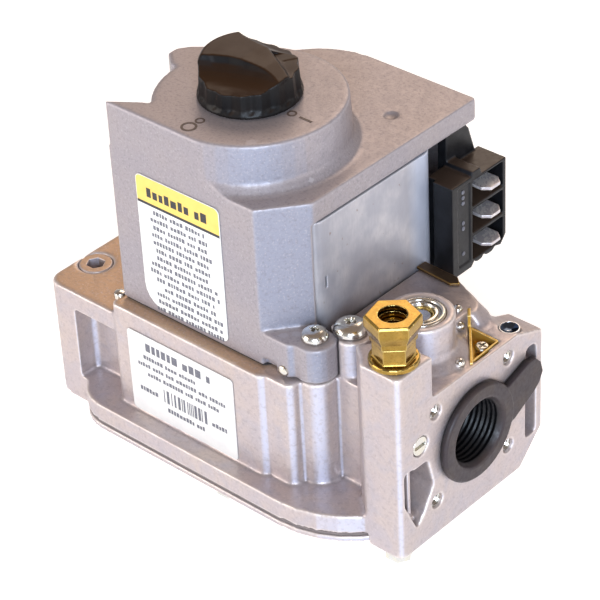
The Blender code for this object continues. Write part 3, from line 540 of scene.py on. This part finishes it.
LOOKS = {
    "cast_aluminium": cast_metal(),
    "grey_paint": painted_metal(),
    "sheet_steel": sheet_steel(),
    "zinc_steel": zinc_plate(),
    "brass": brass_metal(),
    "copper_wire": copper_wire(),
    "black_moulding": black_moulding(),
    "vinyl_cap": vinyl(),
    "rubber_black": rubber(),
    "label_film": film("label_film", linear(233, 232, 226), linear(222, 221, 216)),
}
KNOB_LOOK = black_knob()
SHEET_BRASS = bright_brass()
AGED_BRASS = aged_brass()
TIN = tin_plate()
BLUED = blued_steel()
GREY_FILM = film("grey_film", linear(222, 219, 214), linear(210, 207, 204))
FIBRE = film("diaphragm_fibre", linear(112, 102, 100), linear(90, 82, 82))
YELLOW = film("yellow_band", linear(236, 198, 100), linear(228, 188, 88))
INK = printing("ink", linear(40, 40, 44))
GREY_INK = printing("grey_ink", linear(96, 96, 104))
MARK = printing("lid_mark", linear(92, 78, 70))


def dress_nodes():
    for name, node in frame["nodes"].items():
        look = LOOKS[SLOT_OF[name]]
        if not node.material_slots:
            node.data.materials.append(look)
        for slot in node.material_slots:
            slot.material = look
    frame["nodes"]["lower_label"].material_slots[0].material = GREY_FILM
    frame["nodes"]["main_diaphragm"].material_slots[0].material = FIBRE


# Castings


def valve_body():
    refined("valve_body", LOOKS["cast_aluminium"], 0.5, 5, 0.42)


def ball_plugs():
    """Bright balls pressed into drilled passages on the shelf.

    Places are measured across from the tower's axis and up from the top of the guard.
    """
    tower = middle("regulator_cap")
    guard_top = high("pilot_guard").z
    radius = 1.2
    tilts = [math.radians(-85 + 170 * step / 12) for step in range(13)]
    profile = [(radius * math.cos(tilt), radius * math.sin(tilt)) for tilt in tilts]
    places = ((-1.1, 14.7, 3.0), (1.6, 12.0, 0.9), (10.6, 1.1, 0.8))
    for index, (x, y, z) in enumerate(places):
        shape = bmesh.new()
        add_turned(shape, profile, at(tower.x + x, tower.y + y, guard_top + z), 32)
        ball = new_piece(f"ball_plug_{index + 1}", shape, LOOKS["zinc_steel"])
        detail(smooth_shaded(ball), "valve", "zinc_steel")


def tapped_threads():
    """Bright thread ridges inside the four tapped holes of the outlet face."""
    outlet_face = 55.0
    hole_rows = (9.4, 35.2)
    hole_columns = (-16.85, 9.45)
    crest = 1.5
    root = 1.8
    wall = 1.92
    pitch = 0.8
    start = -pitch
    end = -8.0
    profile = []
    for turn in range(9):
        level = start - pitch * turn
        profile.append((crest, level))
        profile.append((root, level - pitch / 2))
    profile += [(crest, end), (wall, end), (wall, start)]
    shape = bmesh.new()
    for y in hole_columns:
        for z in hole_rows:
            add_turned(shape, profile, at(outlet_face, y, z, ALONG_X), 32, closed=True)
    threads = new_piece("tapped_threads", shape, LOOKS["zinc_steel"])
    detail(smooth_shaded(threads), "valve", "zinc_steel")


def top_housing():
    """The painted housing, with a notch in its front lower edge and a dimple in its lid."""
    node = "top_housing"
    piece = new_piece("fine_top_housing", welded(node), LOOKS["grey_paint"])
    corner = low(node)
    notch_ends = (14.2, 18.4)
    notch = bmesh.new()
    add_box(notch, notch_ends, (corner.y - 1, corner.y + 1.6), (corner.z - 1, corner.z + 2.2))
    cut(piece, notch)
    drum_rise = 12.0
    lid = high(node).z - drum_rise
    dimple = bmesh.new()
    dimple_place = at(11.7, 20.2)
    dimple_profile = ((0.6, lid - 0.8), (1.6, lid - 0.5), (2.2, lid + 0.6))
    add_turned(dimple, dimple_profile, dimple_place, 32)
    cut(piece, dimple)
    softened(piece, 0.45, 5, 0.45)
    stands_for(piece, node)


def front_rivet():
    """Two domed rivets: one in the housing's front edge, one upright beside its left corner."""
    base = low("top_housing")
    shape = bmesh.new()
    profile = ((1.45, -1.0), (1.45, 0.1), (1.3, 0.4), (0.8, 0.66), (0.2, 0.75))
    add_turned(shape, profile, at(20.6, base.y, base.z + 1.5, FACING_FRONT), 32)
    add_turned(shape, profile, at(-33.3, -29.6, base.z - 0.3), 32)
    rivet = new_piece("front_rivet", shape, LOOKS["zinc_steel"])
    detail(smooth_shaded(rivet), "valve", "zinc_steel")


def lid_marks():
    """Raised index rings, with a ring for closed and a bar for open beside them."""
    top = high("top_housing").z
    foot = top - BURIED
    axis = middle("knob_shaft")
    shape = bmesh.new()
    index_ring = ((0.75, 0.0), (1.2, 0.0), (1.2, 0.12), (0.75, 0.12))
    for x, y in ((-1.0, -15.6), (13.4, -0.6)):
        add_turned(shape, index_ring, at(axis.x + x, axis.y + y, foot), 32, closed=True)
    closed_ring = ((1.35, 0.0), (1.95, 0.0), (1.95, 0.1), (1.35, 0.1))
    add_turned(shape, closed_ring, at(axis.x - 1.2, axis.y - 19.0, foot), 40, closed=True)
    open_bar = ((15.8, -1.0), (19.4, -1.0), (19.4, -0.4), (15.8, -0.4))
    add_prism(shape, [(axis.x + x, axis.y + y) for x, y in open_bar], foot, top + 0.1)
    marks = new_piece("lid_marks", shape, MARK)
    detail(smooth_shaded(marks), "valve", "grey_paint")


def bottom_cover():
    refined("bottom_cover", LOOKS["cast_aluminium"], 0.3, 2, 0.4)


# Fittings


def dome_screw(node, head):
    """A pan head of the given height with a cross recess, on a plain shank."""
    box_low = low(node)
    box_high = high(node)
    centre = middle(node)
    shank = 1.55
    radius = (box_high.x - box_low.x) / 2
    base = box_high.z - head
    edge = 0.35
    profile = [(shank, box_low.z), (shank, base), (radius - 0.15, base), (radius, base + 0.2)]
    for step in range(9):
        tilt = math.radians(10 + 76 * step / 8)
        out = radius * math.cos(tilt) ** 0.75
        profile.append((out, base + edge + (head - edge) * math.sin(tilt)))
    shape = bmesh.new()
    add_turned(shape, profile, at(centre.x, centre.y), 56)
    screw = new_piece(f"fine_{node}", shape, LOOKS["zinc_steel"])
    arm = 0.5 * radius
    half = 0.14 * radius
    deep = box_high.z - 1.5
    first_arm = 0.3
    for turn in (first_arm, first_arm + math.pi / 2):
        place = at(centre.x, centre.y, 0.0, Matrix.Rotation(turn, 4, "Z"))
        rows = []
        for scale, level in ((0.35, deep), (1.0, box_high.z + 1.0)):
            x = arm * scale
            y = half * (0.6 + 0.4 * scale)
            rows.append([(-x, -y, level), (x, -y, level), (x, y, level), (-x, y, level)])
        recess = bmesh.new()
        add_loft(recess, rows, place)
        cut(screw, recess)
    softened(screw, 0.11, 1)
    stands_for(screw, node)


def regulator_cap():
    """A cap with turned rings, a steel disc in its recess and a brass ring round the disc."""
    node = "regulator_cap"
    centre = middle(node)
    base = low(node).z
    top = high(node).z
    recess_floor = top - 1.9
    axis = at(centre.x, centre.y)
    profile = (
        (5.9, base),
        (5.9, top - 0.4),
        (5.6, top - 0.05),
        (5.2, top),
        (4.9, top - 0.15),
        (4.7, top - 0.7),
        (4.2, top - 0.75),
        (4.0, top - 0.3),
        (3.6, top - 0.2),
        (3.35, top - 0.5),
        (3.2, recess_floor),
    )
    shape = bmesh.new()
    add_turned(shape, profile, axis, 72)
    cap = new_piece("fine_regulator_cap", shape, LOOKS["zinc_steel"])
    stands_for(smooth_shaded(cap, 50), node)
    disc_profile = ((2.5, recess_floor), (2.5, recess_floor + 0.5), (2.3, recess_floor + 0.65))
    disc_shape = bmesh.new()
    add_turned(disc_shape, disc_profile, axis, 48)
    disc = new_piece("cap_disc", disc_shape, BLUED)
    detail(smooth_shaded(disc), BODY_OF[node], "zinc_steel")
    ring_top = recess_floor + 0.9
    ring_profile = ((2.55, recess_floor), (3.15, recess_floor), (3.15, ring_top), (2.85, ring_top))
    ring_shape = bmesh.new()
    add_turned(ring_shape, ring_profile, axis, 48, closed=True)
    ring = new_piece("cap_ring", ring_shape, LOOKS["brass"])
    detail(smooth_shaded(ring), BODY_OF[node], "brass")


def outlet_tap():
    """A dished plug, polished dark, with a bright turned rim."""
    node = "outlet_tap_plug"
    centre = middle(node)
    base = low(node).z
    top = high(node).z
    dish_bottom = top - 0.9
    profile = [(2.45, base), (2.45, top - 0.15), (2.38, top), (2.24, top)]
    for step in range(7):
        share = 1.0 - step / 6
        profile.append((2.2 * share + 0.02, dish_bottom + 0.85 * share**2))
    shape = bmesh.new()
    add_turned(shape, profile, at(centre.x, centre.y), 56)
    plug = new_piece("fine_outlet_tap_plug", shape, BLUED)
    stands_for(smooth_shaded(plug, 50), node)


def pilot_guard():
    """The folded guard, with a lip that stands up at its rear corner and a rail on its long side."""
    node = "pilot_guard"
    shape = welded(node)
    top = high(node).z
    bottom = top - 1.5
    corner = (low(node).x, high(node).y)
    lip = ((-1.8, 1.7), (-1.2, 2.2), (0.9, -0.3), (0.3, -0.8))
    rail = ((-0.2, 0.2), (0.35, 0.5), (10.3, -11.3), (9.8, -11.8))
    for strip, rise in ((lip, 3.3), (rail, 0.35)):
        outline = [(corner[0] + x, corner[1] + y) for x, y in strip]
        add_prism(shape, outline, bottom, top + rise)
    guard = new_piece("fine_pilot_guard", shape, SHEET_BRASS)
    stands_for(softened(guard, 0.12, 1), node)


def dust_plug():
    """The push-in cup with its sealing ribs, the ring on the face and the pull tab."""
    node = "outlet_dust_plug"
    box_low = low(node)
    box_high = high(node)
    front = box_high.x
    ring = 12.7
    cup = 8.9
    hole = 0.9
    deep = box_low.x - front
    floor_top = deep + 1.2
    profile = [(hole, deep), (cup, deep), (cup, -2.05), (9.4, -1.95)]
    profile += [(ring - 0.2, -1.9), (ring, -1.6), (ring, -0.5), (ring - 0.5, 0.0)]
    profile += [(9.4, 0.0), (cup, -0.25), (8.5, -0.9)]
    ribs = 8
    pitch = (-deep - 3.2) / ribs
    for rib in range(ribs):
        level = -1.2 - pitch * rib
        profile.append((7.85, level - 0.3 * pitch))
        profile.append((8.45, level - 0.8 * pitch))
    profile += [(8.2, floor_top), (hole, floor_top)]
    shape = bmesh.new()
    place = at(front, box_low.y + ring, box_low.z + ring, ALONG_X)
    add_turned(shape, profile, place, 96, closed=True)
    tab = [(9.3, 7.3), (9.3, -4.3), (12.9, -3.7), (20.4, 0.0), (22.4, 1.6)]
    tab += [(23.7, 4.2), (22.9, 7.2), (20.9, 9.4), (18.4, 9.5), (10.9, 7.1)]
    add_prism(shape, tab, -1.9, -0.1, place)
    plug = new_piece("fine_outlet_dust_plug", shape, LOOKS["vinyl_cap"])
    softened(plug, 0.22, 1, 0.6)
    stands_for(plug, node)


def terminal_block():
    """The block, with one, two and three raised pips beside its three cells."""
    node = "terminal_block"
    refined(node, LOOKS["black_moulding"], 0.24, 2)
    x = high(node).x - 0.55
    y = low(node).y + 4.4
    pitch = 1.54
    profile = ((0.55, 0.0), (0.55, 0.32), (0.35, 0.45))
    shape = bmesh.new()
    for count in range(3):
        level = middle(f"terminal_blade_{count + 1}").z
        for pip in range(count + 1):
            place = at(x, y, level + pitch * (pip - count / 2), ALONG_X)
            add_turned(shape, profile, place, 20)
    pips = new_piece("terminal_pips", shape, GREY_INK)
    detail(smooth_shaded(pips), "valve", "black_moulding")


def solenoid_frame():
    """The steel plate, with a narrow upright slot near its front edge."""
    node = "solenoid_frame"
    piece = new_piece("fine_solenoid_frame", welded(node), LOOKS["sheet_steel"])
    face = high(node).x
    front = low(node).y
    slot_levels = (54.6, 58.0)
    slot = bmesh.new()
    add_box(slot, (face - 3, face + 1), (front + 3.4, front + 4.0), slot_levels)
    cut(piece, slot)
    softened(piece, 0.28, 1, 0.4)
    stands_for(piece, node)


FINE_FITTINGS = (
    ("pilot_nut", "brass", 0.14, 5),
    ("pilot_fitting", "brass", 0.14, 4),
    ("pilot_ferrule", "brass", 0.08, 1),
    ("pilot_adjust_screw", "zinc_steel", 0.09, 1),
    ("side_passage_plug", "zinc_steel", 0.12, 2),
    ("corner_plug_screw", "zinc_steel", 0.14, 2),
)


def fittings():
    for node, look, voxel, passes in FINE_FITTINGS:
        refined(node, LOOKS[look], voxel, passes)
    for index in range(6):
        refined(f"cover_screw_{index + 1}", LOOKS["zinc_steel"], 0.14, 2)
    for index in range(3):
        refined(f"terminal_blade_{index + 1}", TIN, 0.12, 1, 0.5)
    refined("frame_stud", AGED_BRASS, 0.12, 2)
    refined("inlet_tap_plug", LOOKS["cast_aluminium"], 0.14, 2)


def knob():
    """The knob, with a scoop along the front of its pointer and a sloping step behind it."""
    node = "knob"
    axis = middle("knob_shaft")
    base = low(node).z
    piece = new_piece("fine_knob", welded(node), KNOB_LOOK)
    half_length = 19.3
    half_width = 7.5
    half_height = 7.0
    scoop_rows = []
    for ring in range(19):
        tilt = math.radians(-86 + 172 * ring / 18)
        row = []
        for spoke in range(40):
            angle = 2 * math.pi * spoke / 40
            along = half_length * math.cos(tilt) * math.cos(angle)
            across = half_width * math.cos(tilt) * math.sin(angle)
            row.append((along, across, half_height * math.sin(tilt)))
        scoop_rows.append(row)
    turn = Matrix.Rotation(math.radians(21), 4, "Z")
    scoop = bmesh.new()
    add_loft(scoop, scoop_rows, at(axis.x + 2.5, axis.y - 9.2, base + 12.4, turn))
    cut(piece, scoop)
    step_rows = []
    for shift, up in ((1.3, 7.1), (0.0, 10.4), (0.0, 16.0)):
        near = ((shift, 5.7 + shift), (10.9 + 0.6 * shift, -0.2 + 1.2 * shift))
        outline = (*near, (24.0, 9.0), (13.0, 22.0))
        step_rows.append([(axis.x + x, axis.y + y, base + up) for x, y in outline])
    rear_step = bmesh.new()
    add_loft(rear_step, step_rows)
    cut(piece, rear_step)
    stands_for(softened(piece, 0.2, 6), node)


# Labels


def add_bar(shape, x, z, front):
    """A thin printed bar on an upright face that looks to the front."""
    add_box(shape, x, (front + PRINT[0], front + PRINT[1]), z)


def add_words(shape, rng, x, z, front, height, words):
    """A row of small blocks in place of printing, in groups with gaps between them.

    The row is x wide and stands on z. Each group has as many blocks as words allows.
    """
    narrowest = 0.6
    here = x[0]
    while here < x[1] - narrowest:
        for _ in range(rng.randint(*words)):
            wide = rng.uniform(0.45, 0.8) * height
            if here + wide > x[1]:
                break
            rise = height * rng.choice((0.8, 1.0, 1.0))
            add_bar(shape, (here, here + wide), (z, z + rise), front)
            here += wide + 0.22 * height
        here += 0.55 * height


def front_label_print():
    """A yellow band with a dark heading, and centred lines of small print below it."""
    box_low = low("front_label")
    box_high = high("front_label")
    front = box_low.y
    rng = random.Random(4)
    margin = 0.15
    radius = 1.4
    left = box_low.x + margin
    right = box_high.x - margin
    bottom = box_high.z - 7.0
    height = box_high.z - margin - radius
    outline = [(left, bottom), (right, bottom)]
    for across, first in ((right - radius, 0.0), (left + radius, math.pi / 2)):
        for step in range(7):
            angle = first + math.pi / 2 * step / 6
            outline.append((across + radius * math.cos(angle), height + radius * math.sin(angle)))
    band = bmesh.new()
    add_prism(band, outline, -front - BURIED, -front + BURIED, FACING_FRONT)
    detail(new_piece("front_label_band", band, YELLOW), "valve", "label_film")
    dark = bmesh.new()
    add_bar(dark, (left, right), (bottom - 0.75, bottom), front)
    add_words(dark, rng, (left + 3.2, right - 3.0), bottom + 1.6, front - 0.01, 2.5, (7, 7))
    detail(new_piece("front_label_heading", dark, INK), "valve", "label_film")
    words = bmesh.new()
    centre = (left + right) / 2
    first_line = bottom - 2.8
    line_pitch = 2.1
    for line in range(14):
        level = first_line - line_pitch * line
        half = rng.uniform(8.0, 11.4)
        middle_x = centre + (1.6 if line > 9 else 0.4)
        add_words(words, rng, (middle_x - half, middle_x + half), level, front, 1.15, (3, 7))
    detail(new_piece("front_label_text", words, GREY_INK), "valve", "label_film")


def lower_label_print():
    """A large heading, three lines, a row of bars with print at both ends, and one line below."""
    box_low = low("lower_label")
    box_high = high("lower_label")
    front = box_low.y
    rng = random.Random(9)
    words = bmesh.new()
    left = box_low.x + 3.0
    right = box_high.x - 2.0
    top = box_high.z
    line_pitch = 2.4
    bar_levels = (top - 17.4, top - 13.6)
    add_words(words, rng, (left + 3.0, right - 5.0), top - 4.4, front, 2.3, (3, 6))
    for line, (start, end) in enumerate(((2.0, 20.0), (0.0, 29.0), (3.0, 27.0))):
        level = top - 7.0 - line_pitch * line
        add_words(words, rng, (left + start, min(left + end, right)), level, front, 1.1, (3, 7))
    here = left + 8.0
    while here < right - 7.0:
        wide = rng.choice((0.3, 0.3, 0.55, 0.8))
        add_bar(words, (here, here + wide), bar_levels, front)
        here += wide + rng.choice((0.3, 0.45, 0.7))
    for start, end in ((0.0, 6.5), (24.0, 29.0)):
        add_words(words, rng, (left + start, min(left + end, right)), top - 17.0, front, 1.2, (4, 8))
    add_words(words, rng, (left + 9.0, right - 8.0), top - 20.0, front, 1.2, (4, 9))
    detail(new_piece("lower_label_text", words, GREY_INK), "valve", "label_film")


# Studio


def floor():
    """A wide white slab just under the lowest screw heads."""
    reach = 1500.0
    thickness = 5.0
    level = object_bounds()[0][2] / MM - 0.1
    shape = bmesh.new()
    add_box(shape, (-reach, reach), (-reach, reach), (level - thickness, level))
    white = Surface("studio_floor", (0.9, 0.9, 0.9), rough=0.9)
    white.shader.inputs["Emission Color"].default_value = (1.0, 0.99, 0.98, 1.0)
    white.shader.inputs["Emission Strength"].default_value = 0.55
    white.speckle(40.0, (0.87, 0.87, 0.87), 0.4, 0.7, 0.5)
    new_piece("studio_floor", shape, white.done())


def area_light(name, place, colour, power, size):
    """A square soft box aimed at the middle of the object."""
    lamp = bpy.data.lights.new(name, "AREA")
    lamp.energy = power
    lamp.color = colour
    lamp.size = size
    obj = bpy.data.objects.new(name, lamp)
    target = Vector((0.0, 0.0, 0.04))
    obj.location = place
    obj.rotation_euler = (target - Vector(place)).to_track_quat("-Z", "Y").to_euler()
    bpy.context.scene.collection.objects.link(obj)


def surroundings():
    """A room that is pale round the horizon and dim and warm overhead."""
    world = bpy.data.worlds.new("studio_world")
    world.use_nodes = True
    tree = world.node_tree
    coords = tree.nodes.new("ShaderNodeTexCoord")
    apart = tree.nodes.new("ShaderNodeSeparateXYZ")
    ramp = tree.nodes.new("ShaderNodeValToRGB")
    ramp.color_ramp.elements[0].position = 0.15
    ramp.color_ramp.elements[0].color = (0.62, 0.6, 0.62, 1.0)
    ramp.color_ramp.elements[1].position = 0.8
    ramp.color_ramp.elements[1].color = (0.36, 0.27, 0.22, 1.0)
    background = tree.nodes["Background"]
    tree.links.new(coords.outputs["Generated"], apart.inputs[0])
    tree.links.new(apart.outputs["Z"], ramp.inputs[0])
    tree.links.new(ramp.outputs[0], background.inputs["Color"])
    background.inputs["Strength"].default_value = 0.8
    return world


def studio():
    floor()
    area_light("front_left_box", (-0.6, -0.92, 0.34), (1.0, 0.91, 0.84), 5.4, 0.6)
    area_light("right_box", (1.06, 0.3, 0.3), (1.0, 0.93, 0.88), 1.9, 0.6)
    area_light("camera_side_box", (0.78, -0.8, 0.42), (0.7, 0.83, 1.0), 14.0, 0.6)
    area_light("back_box", (-0.35, 0.75, 0.75), (1.0, 0.8, 0.64), 4.0, 0.7)
    bpy.context.scene.world = surroundings()
    bpy.context.scene.view_settings.view_transform = "Standard"


def camera():
    """A long lens at the front right, looking about 35 degrees down."""
    data = bpy.data.cameras.new("view")
    data.lens = 151.6
    data.sensor_width = 36.0
    data.clip_start = 0.01
    obj = bpy.data.objects.new("view", data)
    right = Vector((0.7431, 0.6676, -0.0458))
    up = Vector((-0.3547, 0.4510, 0.8190))
    back = right.cross(up)
    place = (0.3461, -0.3630, 0.3828)
    turn = Matrix((right, up, back)).transposed()
    obj.matrix_world = Matrix.Translation(place) @ turn.to_4x4()
    bpy.context.scene.collection.objects.link(obj)
    bpy.context.scene.camera = obj


dress_nodes()
valve_body()
ball_plugs()
tapped_threads()
top_housing()
front_rivet()
lid_marks()
bottom_cover()
dome_screw("housing_screw", 2.6)
dome_screw("body_screw", 2.9)
regulator_cap()
outlet_tap()
pilot_guard()
dust_plug()
terminal_block()
solenoid_frame()
fittings()
knob()
front_label_print()
lower_label_print()
studio()
camera()
